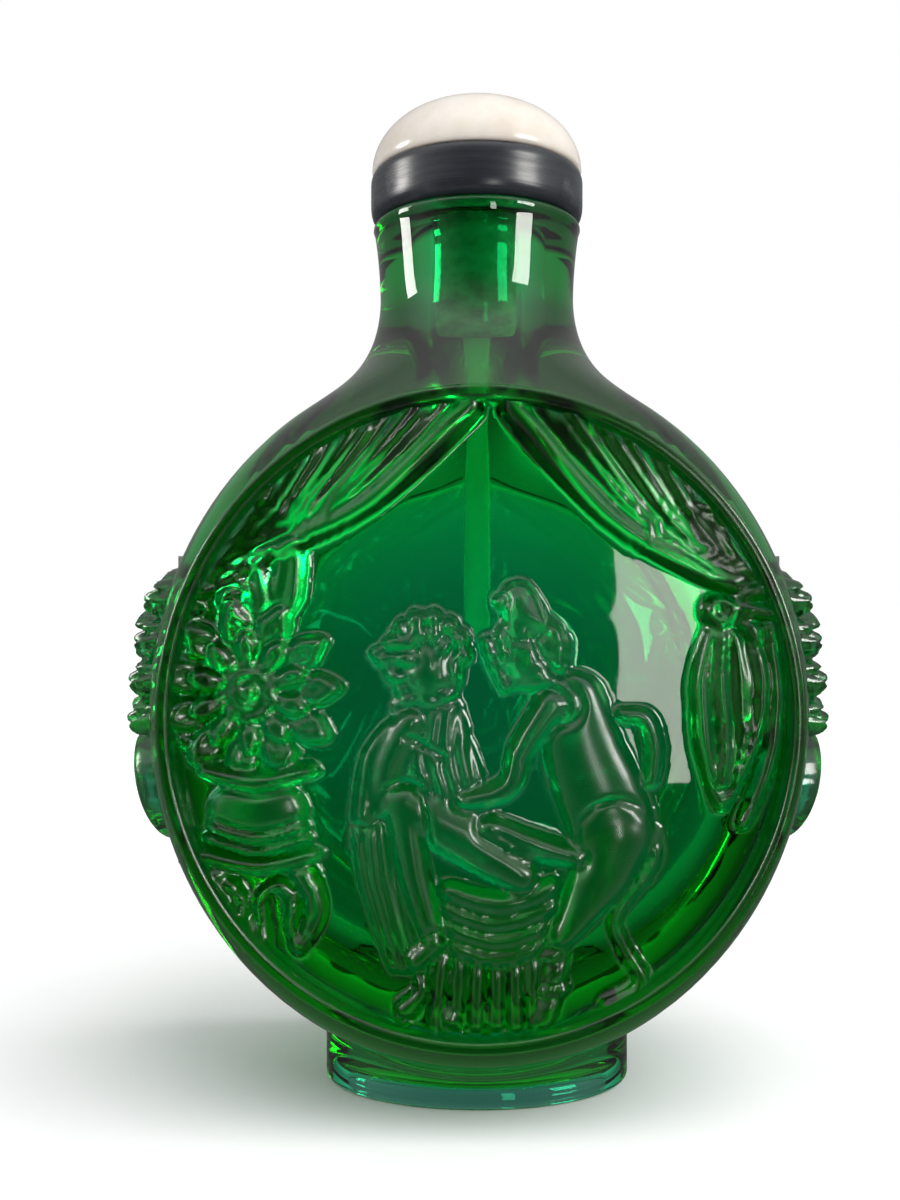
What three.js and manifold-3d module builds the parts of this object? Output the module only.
// Carved green glass snuff bottle with its stopper in the mouth.
// Millimetres, +Z up, front panel towards -Y, origin under the middle of the foot.

import * as THREE from "three";
import manifoldModule from "manifold-3d";

const solids = await manifoldModule();
solids.setup();

// Driving sizes of the glass
const LIP_Z = 66.5;
const LIP_RADIUS = 8.1;
const WAIST_Z = 60;
const WAIST_RADIUS = 7.55;
const NECK_BLEND = 6.6;
const BODY_Z = 29;
const BODY_HALF_WIDTH = 24.3;
const BODY_HALF_HEIGHT = 26.3;
const BODY_HALF_DEPTH = 14.8;
const OUTLINE_POWER = 2;
const SIDE_POWER = 4;
const FOOT_HALF_WIDTH = 11.8;
const FOOT_HALF_DEPTH = 7.3;
const FOOT_TOP_Z = 5;
const FOOT_BLEND = 1.4;
const FOOT_RING = 2;
const FOOT_RECESS = 1.3;

// Driving sizes of the hollow
const BORE_RADIUS = 3.5;
const HOLLOW_Z = 29.3;
const HOLLOW_HALF_WIDTH = 20.7;
const HOLLOW_HALF_HEIGHT = 20.6;
const HOLLOW_HALF_DEPTH = 7.4;
const HOLLOW_BLEND = 3;

// Driving sizes of the round carved panels
const PANEL_HALF_WIDTH = 22.3;
const PANEL_HALF_HEIGHT = 23;
const PANEL_FACE_Y = 12.6;
const GROUND_Y = 10.6;
const GROUND_SWELL = 0.3;
const RIM_SHARE = 0.957;
const RIM_SLOPE = 0.012;
const SEAT_Y = 9.6;
const PANEL_BACK_Y = 9;
const CURTAIN_REACH = 20.9;

// Driving sizes of the handles and the stopper
const MASK_RISE = 2.0;
const MASK_DETAIL = 0.5;
const RING_RISE = 2.2;
const COLLAR_RADIUS = 8.3;
const COLLAR_HEIGHT = 3.9;
const CABOCHON_RADIUS = 8.2;
const CABOCHON_HEIGHT = 5.6;
const CORK_RADIUS = 3.25;
const CORK_LENGTH = 11.5;
const SPOON_LENGTH = 20.6;
const SPOON_HALF_WIDTH = 1.05;
const SPOON_THICKNESS = 0.8;

// How finely the faces are cut
const TURN_STEPS = 32;
const RIM_STEPS = 36;
const PANEL_CELLS = 6;
const RIDGE_STEPS = 1.5;
const STOPPER_STEPS = 20;

// Raised forms reach this far into the ground that they stand on
const RELIEF_ROOT = 0.6;

// Small helpers
const radians = (degrees) => (degrees * Math.PI) / 180;
const mix = (from, to, share) => from + (to - from) * share;

function blend(first, second, width) {
  const share = THREE.MathUtils.clamp(0.5 + (0.5 * (second - first)) / width, 0, 1);
  return mix(second, first, share) - width * share * (1 - share);
}

// Distance from a flattened round form with its own outline and side powers, minus inside it
function flaskDistance(x, y, z, half, powers) {
  const outline = (Math.abs(x) / half.x) ** powers.outline + (Math.abs(z) / half.z) ** powers.outline;
  const depth = (Math.abs(y) / half.y) ** powers.side;
  const ratio = (outline ** (powers.side / powers.outline) + depth) ** (1 / powers.side);
  const reach = Math.hypot(x, y, z);
  return ratio > 0 ? reach * (1 - 1 / ratio) : -half.y;
}

function ovalDistance(x, y, halfX, halfY) {
  const ratio = Math.hypot(x / halfX, y / halfY);
  return ratio > 0 ? Math.hypot(x, y) * (1 - 1 / ratio) : -halfY;
}

// Outside of the glass: foot, body and neck run into each other
function neckRadius(z) {
  const rise = Math.max(z - WAIST_Z, 0) / (LIP_Z - WAIST_Z);
  return WAIST_RADIUS + (LIP_RADIUS - WAIST_RADIUS) * rise ** 2;
}

function glassDistance(x, y, z) {
  const half = new THREE.Vector3(BODY_HALF_WIDTH, BODY_HALF_DEPTH, BODY_HALF_HEIGHT);
  const powers = { outline: OUTLINE_POWER, side: SIDE_POWER };
  const body = flaskDistance(x, y, z - BODY_Z, half, powers);
  if (z > BODY_Z) {
    return blend(body, Math.hypot(x, y) - neckRadius(z), NECK_BLEND);
  }
  const foot = Math.max(ovalDistance(x, y, FOOT_HALF_WIDTH, FOOT_HALF_DEPTH), z - FOOT_TOP_Z);
  return blend(body, foot, FOOT_BLEND);
}

// Inside of the glass: a smooth hollow under a straight bore
function hollowDistance(x, y, z) {
  const half = new THREE.Vector3(HOLLOW_HALF_WIDTH, HOLLOW_HALF_DEPTH, HOLLOW_HALF_HEIGHT);
  const hollow = flaskDistance(x, y, z - HOLLOW_Z, half, { outline: 2.1, side: 2.6 });
  if (z < HOLLOW_Z) {
    return hollow;
  }
  return blend(hollow, Math.hypot(x, y) - BORE_RADIUS, HOLLOW_BLEND);
}

// Level rings of points
function reachOf(distance, dx, dy, z) {
  let near = 0;
  let far = 40;
  for (let step = 0; step < 40; step += 1) {
    const middle = (near + far) / 2;
    if (distance(middle * dx, middle * dy, z) < 0) {
      near = middle;
    } else {
      far = middle;
    }
  }
  return near;
}

function levelRing(distance, z) {
  const wide = reachOf(distance, 1, 0, z);
  const deep = reachOf(distance, 0, 1, z);
  return Array.from({ length: TURN_STEPS }, (_, step) => {
    const turn = (2 * Math.PI * step) / TURN_STEPS;
    const heading = Math.atan2(deep * Math.sin(turn), wide * Math.cos(turn));
    const reach = reachOf(distance, Math.cos(heading), Math.sin(heading), z);
    return new THREE.Vector3(reach * Math.cos(heading), reach * Math.sin(heading), z);
  });
}

function ovalRing(halfX, halfY, z) {
  return levelRing((x, y) => ovalDistance(x, y, halfX, halfY), z);
}

// Closed skin through a run of rings, with a point at each end
function skin(firstPoint, rings, lastPoint) {
  const points = [firstPoint, ...rings.flat(), lastPoint];
  const last = points.length - 1;
  const at = (ringIndex, step) => 1 + ringIndex * TURN_STEPS + (step % TURN_STEPS);
  const faces = [];
  for (let step = 0; step < TURN_STEPS; step += 1) {
    faces.push([0, at(0, step + 1), at(0, step)]);
    faces.push([at(rings.length - 1, step), at(rings.length - 1, step + 1), last]);
    for (let ring = 0; ring + 1 < rings.length; ring += 1) {
      faces.push([at(ring, step), at(ring, step + 1), at(ring + 1, step + 1)]);
      faces.push([at(ring, step), at(ring + 1, step + 1), at(ring + 1, step)]);
    }
  }
  return toSolid(points, faces);
}

// Closed slab: a grid of points in front, straight walls and a plain back
function slab(cells, pointAt, backPoint, backMiddle) {
  const side = cells + 1;
  const points = [];
  const faces = [];
  for (let row = 0; row < side; row += 1) {
    for (let column = 0; column < side; column += 1) {
      points.push(pointAt(column / cells, row / cells));
    }
  }
  for (let row = 0; row < cells; row += 1) {
    for (let column = 0; column < cells; column += 1) {
      const at = row * side + column;
      faces.push([at, at + 1, at + side + 1], [at, at + side + 1, at + side]);
    }
  }
  const name = (from, to) => from * points.length + to;
  const edges = faces.flatMap(([a, b, c]) => [[a, b], [b, c], [c, a]]);
  const used = new Set(edges.map(([from, to]) => name(from, to)));
  const border = edges.filter(([from, to]) => !used.has(name(to, from)));
  const middle = points.push(backMiddle) - 1;
  const backs = new Map(border.map(([from]) => [from, points.push(backPoint(points[from])) - 1]));
  for (const [from, to] of border) {
    const back = backs.get(from);
    const nextBack = backs.get(to);
    faces.push([from, back, nextBack], [from, nextBack, to], [middle, nextBack, back]);
  }
  return toSolid(points, faces);
}

function toSolid(points, faces) {
  const mesh = new solids.Mesh({
    numProp: 3,
    vertProperties: new Float32Array(points.flatMap((point) => point.toArray())),
    triVerts: new Uint32Array(faces.flat()),
  });
  return new solids.Manifold(mesh);
}

function toGeometry(solid) {
  const mesh = solid.getMesh();
  const geometry = new THREE.BufferGeometry();
  geometry.setAttribute("position", new THREE.BufferAttribute(mesh.vertProperties, 3));
  geometry.setIndex(new THREE.BufferAttribute(mesh.triVerts, 1));
  geometry.computeVertexNormals();
  return geometry;
}

// Sections of a ridge from its right foot to its left foot: share of the half width, share of the height
const ROUND_BACK = [[-1, 0], [-0.5, 1], [0.5, 1], [1, 0]];
const SHARP_BACK = [[-1, 0], [0, 1], [1, 0]];

// Raised form along a path. place(u, v, rise) is a point over the ground that the form stands on
function ridge(place, path, widths, high, section = ROUND_BACK) {
  const curve = new THREE.SplineCurve(path.map(([u, v]) => new THREE.Vector2(u, v)));
  const steps = Math.ceil(RIDGE_STEPS * (path.length - 1));
  const points = Array.from({ length: steps + 1 }, (_, step) => {
    const share = step / steps;
    const stop = share * (widths.length - 1);
    const index = Math.min(Math.floor(stop), widths.length - 2);
    const taper = step % steps === 0 ? 0.6 : 1;
    const width = taper * mix(widths[index], widths[index + 1], stop - index);
    const heading = curve.getTangent(share);
    const lean = step % steps === 0 ? 0.5 * width * (step > 0 ? 1 : -1) : 0;
    const at = curve.getPoint(share).addScaledVector(heading, lean);
    return section.map(([across, rise]) => {
      const u = at.x - across * width * heading.y;
      const v = at.y + across * width * heading.x;
      return place(u, v, rise > 0 ? taper * rise * high : -RELIEF_ROOT);
    });
  }).flat();
  const count = section.length;
  const last = steps;
  const faces = [];
  for (let corner = 0; corner < count; corner += 1) {
    const next = (corner + 1) % count;
    for (let run = 0; run < last; run += 1) {
      const near = run * count;
      const far = near + count;
      faces.push([near + corner, far + corner, far + next], [near + corner, far + next, near + next]);
    }
  }
  for (let corner = 1; corner + 1 < count; corner += 1) {
    faces.push([0, corner, corner + 1]);
    faces.push([last * count, last * count + corner + 1, last * count + corner]);
  }
  return toSolid(points, faces);
}

// Raised oval with a domed top
function dome(place, [u0, v0], [halfU, halfV], high, sides = 9, turn = 0) {
  const levels = [[1, -RELIEF_ROOT], [0.75, 0.7 * high]];
  const ring = ([share, rise]) => Array.from({ length: sides }, (_, step) => {
    const angle = (2 * Math.PI * step) / sides;
    const along = share * halfU * Math.cos(angle);
    const across = share * halfV * Math.sin(angle);
    const u = u0 + along * Math.cos(turn) - across * Math.sin(turn);
    return place(u, v0 + along * Math.sin(turn) + across * Math.cos(turn), rise);
  });
  const points = [...levels.flatMap(ring), place(u0, v0, high)];
  const faces = [];
  for (let step = 0; step < sides; step += 1) {
    const next = (step + 1) % sides;
    faces.push([step, next, sides + next], [step, sides + next, sides + step]);
    faces.push([sides + step, sides + next, 2 * sides]);
  }
  for (let step = 1; step + 1 < sides; step += 1) {
    faces.push([0, step + 1, step]);
  }
  return toSolid(points, faces);
}

// Points along part of a circle
function arc([u0, v0], radius, firstDegrees, lastDegrees, count) {
  return Array.from({ length: count }, (_, index) => {
    const angle = radians(mix(firstDegrees, lastDegrees, index / (count - 1)));
    return [u0 + radius * Math.cos(angle), v0 + radius * Math.sin(angle)];
  });
}

function beads(place, [u0, v0], [u1, v1], count, radius, high) {
  return Array.from({ length: count }, (_, index) => {
    const share = index / (count - 1);
    return dome(place, [mix(u0, u1, share), mix(v0, v1, share)], [radius, radius], high, 5);
  });
}

// Curtain: folds that start along the rim and sag to a tie
function curtain(place, firstDegrees, lastDegrees, tie, sag, count) {
  return arc([0, 0], CURTAIN_REACH, firstDegrees, lastDegrees, count).map((start, index) => {
    const share = index / (count - 1);
    const middle = [mix(start[0], tie[0], 0.5), mix(start[1], tie[1], 0.5) - sag * (1 - 0.7 * share)];
    return ridge(place, [start, middle, tie], [1.6, 1.5, 0.9], mix(1.5, 1.1, share), SHARP_BACK);
  });
}

// Knot, bow and hanging tail of the right curtain
function curtainTail(place) {
  const tails = [0, 1, 2].map((index) => {
    const top = [15.9 + 1.8 * index, 6.2];
    const belly = [15.8 + 2.1 * index, 1.4];
    const tip = [16.6 + 1.2 * index, -5 - 0.4 * index];
    return ridge(place, [top, belly, tip], [0.9, 1.2, 0.7], 1.5, SHARP_BACK);
  });
  const knot = dome(place, [16.6, 7.4], [1.2, 1.2], 1.7, 7);
  const bow = dome(place, [18.9, 7.9], [1.5, 0.9], 1.5, 6, 0.35);
  return [...tails, knot, bow];
}

// Flower: a ring of petals around a core, with a bud, a tall leaf and small leaves beside it
function flower(place) {
  const middle = [-16, 1.8];
  const petals = arc(middle, 4.1, 22.5, 337.5, 8).map((at) => {
    return dome(place, at, [1.9, 1.6], 1.3, 6, Math.atan2(at[1] - middle[1], at[0] - middle[0]));
  });
  return [
    ...petals,
    dome(place, middle, [2.7, 2.7], 1.5, 9),
    dome(place, middle, [1.2, 1.2], 1.8, 6),
    ...beads(place, [-20, 7.2], [-20.4, -1.8], 4, 0.95, 1.1),
    dome(place, [-17.1, 8.2], [1.4, 2], 1.4, 7, 0.25),
    ridge(place, [[-13.1, 11.2], [-13.4, 8.8], [-14.4, 5.8]], [0.9, 1.3, 0.8], 1.4),
  ];
}

// Flower pot on a stand with bowed legs
function pot(place) {
  const band = (v, half, width, high) => {
    const path = [[-15.4 - half, v + 0.55], [-15.4, v - 0.25], [-15.4 + half, v + 0.55]];
    return ridge(place, path, [0.7 * width, width, 0.7 * width], high);
  };
  return [
    dome(place, [-15.4, -6.4], [3.35, 2.3], 1.5, 12),
    band(-4.1, 3.4, 0.75, 1.75),
    band(-8.3, 3, 0.7, 1.5),
    band(-9.9, 3.7, 0.7, 1.4),
    ridge(place, [[-18.1, -10.6], [-17.7, -13], [-15.4, -15.4]], [0.9, 0.75, 0.65], 1.3),
    ridge(place, [[-12.3, -10.6], [-11.3, -13.2], [-12.5, -15.7]], [0.9, 0.75, 0.65], 1.3),
  ];
}

// Left sitter: head with curled hair, robe, raised knee and trailing hem
function leftSitter(place) {
  const hem = [0, 1, 2].map((index) => {
    const shift = 1.2 * index;
    const path = [[-8.2 + shift, -6.6], [-7.7 + shift, -11], [-5.8 + 0.8 * shift, -16.8]];
    return ridge(place, path, [0.6, 0.7, 0.6], 1, SHARP_BACK);
  });
  const curls = arc([-3.6, 4.3], 2.4, 0, 200, 6).map((at) => dome(place, at, [1.1, 1], 1.75, 5));
  return [
    ...hem,
    ridge(place, [[-3.8, 0.2], [-3.2, -2.6], [-1.8, -6]], [2.2, 2.8, 2.5], 1.25),
    ridge(place, [[-4.8, -0.2], [-6.4, -3], [-6.9, -6.2]], [0.9, 1.05, 1], 1.5),
    dome(place, [-3.3, 3.6], [2.2, 2.6], 1.6, 10),
    ...curls,
    ...beads(place, [-7.1, 4.4], [-5, 1.3], 4, 0.55, 1.1),
    ridge(place, [[-5.2, -6.1], [-2.4, -7.6], [1, -9.4], [2.6, -10.7]], [1.5, 1.7, 1.8, 1.2], 1.6),
    ridge(place, [[-5.2, -6.4], [-4.6, -10.5], [-3.2, -15.2]], [1.4, 1.1, 0.85], 1.6),
    ridge(place, [[-3.2, -15.5], [-4.3, -16.6]], [0.8, 0.6], 1.4),
  ];
}

// Right sitter: head with a bun, curved back, arm across, sash and bent leg
function rightSitter(place) {
  return [
    ridge(place, [[6.6, 0.8], [7.1, -2.1], [8.1, -4.8], [9.1, -7.5]], [2, 2.65, 2.9, 2.9], 1.55),
    ridge(place, [[9.2, -8.4], [8.5, -10.5], [7, -13], [5.7, -15]], [2.5, 2.1, 1.4, 0.85], 1.6),
    ridge(place, [[5.4, -15], [5.1, -18], [4.5, -20.6]], [0.9, 0.85, 0.75], 1.3),
    ridge(place, [[4.2, 2.8], [5.4, 1]], [1, 1.3], 1.4),
    dome(place, [3.2, 4.7], [2.4, 2.75], 1.6, 10),
    ridge(place, [[2.4, 7.3], [4.6, 6.6], [5.4, 4.2]], [0.5, 0.8, 0.6], 1.75),
    dome(place, [2.6, 8.4], [1.2, 1.05], 1.4, 8),
    ...beads(place, [0.5, 5.1], [1.7, 2.2], 3, 0.55, 1.15),
    ridge(place, [[4.7, 0.8], [2.9, -2], [1.9, -4.7], [-1.1, -5.6]], [1.05, 0.85, 0.75, 0.5], 1.6),
    ridge(place, [[9.8, 0.3], [11.4, 0], [12.1, -2.2], [11.8, -4.3]], [0.55, 0.55], 1, SHARP_BACK),
    ridge(place, [[11.9, -8.6], [9.5, -13.4], [11.1, -18], [8.8, -19.8]], [0.5, 0.6], 1, SHARP_BACK),
    ridge(place, [[0.6, -7.4], [3.4, -8.7], [6.6, -9.6]], [0.7, 0.95, 0.6], 1.6),
  ];
}

// Cloth over the seat: sagging folds above, upright folds below
function seatCloth(place) {
  const sagging = [0, 1, 2].map((index) => {
    const drop = 1.5 * index;
    const path = [[-2, -12 - drop], [1.2, -12.9 - drop], [4.8, -11.8 - drop]];
    return ridge(place, path, [0.7, 0.85, 0.7], 1.2, SHARP_BACK);
  });
  const upright = [0, 1, 2].map((index) => {
    const path = [[-2.2 + 2.4 * index, -16.6], [-2.7 + 2.7 * index, -20.4]];
    return ridge(place, path, [0.95, 1], 1.1, SHARP_BACK);
  });
  return [...upright, ...sagging, dome(place, [-5, -19.4], [1, 0.8], 1.1, 7)];
}

function frontRelief(place) {
  return [
    ...curtain(place, 92, 132, [-16.4, 10.6], 1.4, 4),
    ...curtain(place, 83, 46, [17.2, 8.6], 1.6, 4),
    ...curtainTail(place),
    ...flower(place),
    ...pot(place),
    ...seatCloth(place),
    ...leftSitter(place),
    ...rightSitter(place),
  ];
}

// The back panel is plainer: curtains drawn aside over an open ground
function backRelief(place) {
  return [...curtain(place, 122, 150, [-18.6, 8.3], 0.9, 3), ...curtain(place, 58, 30, [18.6, 8.3], 0.9, 3)];
}

// Round panel: a square grid turned into rings, so that its edge is a clean circle
function roundSpot(across, up) {
  const a = 2 * across - 1;
  const b = 2 * up - 1;
  if (Math.hypot(a, b) < 1e-9) {
    return { u: 0, v: 0 };
  }
  const wide = Math.abs(a) > Math.abs(b);
  const turn = wide ? (Math.PI / 4) * (b / a) : Math.PI / 2 - (Math.PI / 4) * (a / b);
  const reach = wide ? a : b;
  return { u: reach * Math.cos(turn), v: reach * Math.sin(turn) };
}

function panelPoint(side, u, v, depth) {
  return new THREE.Vector3(-side * u, side * depth, BODY_Z + v);
}

function panel(side, relief) {
  const reach = RIM_SHARE + RIM_SLOPE;
  const place = (u, v, rise) => {
    const swell = GROUND_SWELL * (1 - (u / PANEL_HALF_WIDTH) ** 2 - (v / PANEL_HALF_HEIGHT) ** 2);
    return panelPoint(side, u, v, Math.min(GROUND_Y + swell + rise, PANEL_FACE_Y - 0.1));
  };
  const pointAt = (across, up) => {
    const spot = roundSpot(across, up);
    return place(PANEL_HALF_WIDTH * reach * spot.u, PANEL_HALF_HEIGHT * reach * spot.v, 0);
  };
  const backPoint = (point) => point.clone().setY(side * PANEL_BACK_Y);
  const ground = slab(PANEL_CELLS, pointAt, backPoint, panelPoint(side, 0, 0, PANEL_BACK_Y));
  return solids.Manifold.union([ground, ...relief(place)]);
}

// Raised rim around a panel
function rim(side) {
  const corners = [
    [1, PANEL_BACK_Y],
    [1, PANEL_FACE_Y],
    [RIM_SHARE, PANEL_FACE_Y],
    [RIM_SHARE - RIM_SLOPE, PANEL_BACK_Y],
  ];
  const points = [];
  const faces = [];
  const at = (step, corner) => (step % RIM_STEPS) * corners.length + (corner % corners.length);
  for (let step = 0; step < RIM_STEPS; step += 1) {
    const turn = (2 * Math.PI * step) / RIM_STEPS;
    corners.forEach(([share, depth], corner) => {
      const u = PANEL_HALF_WIDTH * share * Math.cos(turn);
      points.push(panelPoint(side, u, PANEL_HALF_HEIGHT * share * Math.sin(turn), depth));
      faces.push([at(step, corner), at(step + 1, corner), at(step + 1, corner + 1)]);
      faces.push([at(step, corner), at(step + 1, corner + 1), at(step, corner + 1)]);
    });
  }
  return toSolid(points, faces);
}

// The seat that each panel sinks into
function panelSeat(side) {
  const pointAt = (across, up) => {
    const spot = roundSpot(across, up);
    const u = 0.98 * PANEL_HALF_WIDTH * spot.u;
    return panelPoint(side, u, 0.98 * PANEL_HALF_HEIGHT * spot.v, 2 * PANEL_FACE_Y);
  };
  const backPoint = (point) => point.clone().setY(side * SEAT_Y);
  return slab(PANEL_CELLS, pointAt, backPoint, panelPoint(side, 0, 0, SEAT_Y));
}

// Animal mask with a ring in its mouth, in relief on a narrow side
function handle(side) {
  const wall = (y, z, rise) => {
    const reach = reachOf((x, _, level) => glassDistance(x, y, level), 1, 0, z);
    return new THREE.Vector3(side * (reach + rise), side * y, z);
  };
  const mask = (y, z, rise) => wall(y, z, MASK_RISE + rise);
  const paired = [-1, 1].flatMap((hand) => {
    const brow = [[hand * 0.7, 34.9], [hand * 2.2, 35.9], [hand * 3.6, 35.3]];
    const mane = [28.4, 31.4, 34.4, 37.4].map((z) => dome(wall, [hand * 4.4, z], [1.6, 1.4], MASK_RISE, 5));
    return [
      ...mane,
      ridge(mask, brow, [0.5, 0.7, 0.45], MASK_DETAIL, SHARP_BACK),
      dome(mask, [hand * 1.9, 33.5], [1, 0.85], MASK_DETAIL, 5),
      dome(mask, [hand * 1.35, 28.9], [1.4, 1.1], MASK_DETAIL, 5),
    ];
  });
  return solids.Manifold.union([
    ridge(wall, [[0, 38.4], [0, 35], [0, 31.6], [0, 28.2]], [4.2, 5, 5, 4.2], MASK_RISE),
    ...paired,
    dome(mask, [0, 31.5], [1, 1.7], MASK_DETAIL, 6),
    dome(mask, [0, 37.6], [1.2, 1], MASK_DETAIL, 5),
    ridge(wall, arc([0, 23], 3.5, 90, 450, 8), [1.2, 1.2], RING_RISE),
  ]);
}

// The whole bottle as one hollow piece
function bottle() {
  const outsideLevels = [0.5, 3.6, 4.6, 5.4, 6.6, 8.6, 11.5, 15.5, 20.5, 29, 37.5, 42.5, 46.5, 49.5];
  const neckLevels = [51.7, 53.6, 55.6, 58.2, 62, 66.1];
  const insideLevels = [56, 52.5, 49.5, 45, 37, 28, 20, 13, 9.6];
  const rings = [
    ovalRing(FOOT_HALF_WIDTH - FOOT_RING - 0.3, FOOT_HALF_DEPTH - FOOT_RING - 0.3, FOOT_RECESS),
    ovalRing(FOOT_HALF_WIDTH - FOOT_RING, FOOT_HALF_DEPTH - FOOT_RING, 0),
    ovalRing(FOOT_HALF_WIDTH - 0.4, FOOT_HALF_DEPTH - 0.4, 0),
    ...[...outsideLevels, ...neckLevels].map((z) => levelRing(glassDistance, z)),
    ovalRing(LIP_RADIUS - 0.4, LIP_RADIUS - 0.4, LIP_Z),
    ovalRing(BORE_RADIUS, BORE_RADIUS, LIP_Z),
    ...insideLevels.map((z) => levelRing(hollowDistance, z)),
  ];
  const under = new THREE.Vector3(0, 0, FOOT_RECESS + 0.2);
  const floor = new THREE.Vector3(0, 0, HOLLOW_Z - HOLLOW_HALF_HEIGHT);
  return skin(under, rings, floor)
    .subtract(panelSeat(-1))
    .subtract(panelSeat(1))
    .add(rim(-1))
    .add(rim(1))
    .add(panel(-1, frontRelief))
    .add(panel(1, backRelief))
    .add(handle(1))
    .add(handle(-1));
}

// Stopper pieces, turned about the upright axis
function turned(profile) {
  const outline = profile.map(([radius, z]) => new THREE.Vector2(radius, z));
  return new THREE.LatheGeometry(outline, STOPPER_STEPS).rotateX(Math.PI / 2);
}

function collar() {
  const top = LIP_Z + COLLAR_HEIGHT;
  return turned([
    [0, LIP_Z],
    [COLLAR_RADIUS - 0.8, LIP_Z],
    [COLLAR_RADIUS - 0.2, LIP_Z + 0.4],
    [COLLAR_RADIUS, LIP_Z + 1],
    [COLLAR_RADIUS, top - 0.3],
    [COLLAR_RADIUS - 0.25, top],
    [0, top],
  ]);
}

function cabochon() {
  const base = LIP_Z + COLLAR_HEIGHT;
  const steps = 6;
  const dome = Array.from({ length: steps }, (_, step) => {
    const angle = (Math.PI / 2) * (step / steps);
    return [CABOCHON_RADIUS * Math.cos(angle) ** 0.9, base + CABOCHON_HEIGHT * Math.sin(angle)];
  });
  return turned([[0, base], ...dome, [0, base + CABOCHON_HEIGHT]]);
}

function cork() {
  const low = LIP_Z - CORK_LENGTH;
  return turned([
    [0, low],
    [CORK_RADIUS - 0.5, low],
    [CORK_RADIUS - 0.2, low + 0.5],
    [CORK_RADIUS, LIP_Z],
    [0, LIP_Z],
  ]);
}

// Spoon: a flat strip with a rounded end, hung from the cork
function spoon() {
  const top = LIP_Z - CORK_LENGTH;
  const turnZ = top - SPOON_LENGTH + SPOON_HALF_WIDTH;
  const outline = new THREE.Shape();
  outline.moveTo(SPOON_HALF_WIDTH, top);
  outline.lineTo(-SPOON_HALF_WIDTH, top);
  outline.lineTo(-SPOON_HALF_WIDTH, turnZ);
  outline.absarc(0, turnZ, SPOON_HALF_WIDTH, Math.PI, 2 * Math.PI, false);
  outline.closePath();
  const options = { depth: SPOON_THICKNESS, bevelEnabled: false, curveSegments: 8 };
  const strip = new THREE.ExtrudeGeometry(outline, options);
  return strip.rotateX(Math.PI / 2).translate(0, SPOON_THICKNESS / 2, 0);
}

// Put together
function piece(name, geometry, colour, roughness) {
  const mesh = new THREE.Mesh(geometry, new THREE.MeshStandardMaterial({ color: colour, roughness }));
  mesh.name = name;
  return mesh;
}

const group = new THREE.Group();
group.name = "snuff_bottle";
group.add(piece("bottle", toGeometry(bottle()), 0x0a7d3c, 0.15));
group.add(piece("stopper_collar", collar(), 0x1c1e22, 0.4));
group.add(piece("stopper_cabochon", cabochon(), 0xe9e0d4, 0.2));
group.add(piece("stopper_cork", cork(), 0x9a6b42, 0.9));
group.add(piece("snuff_spoon", spoon(), 0xd9cfae, 0.5));

export default group;
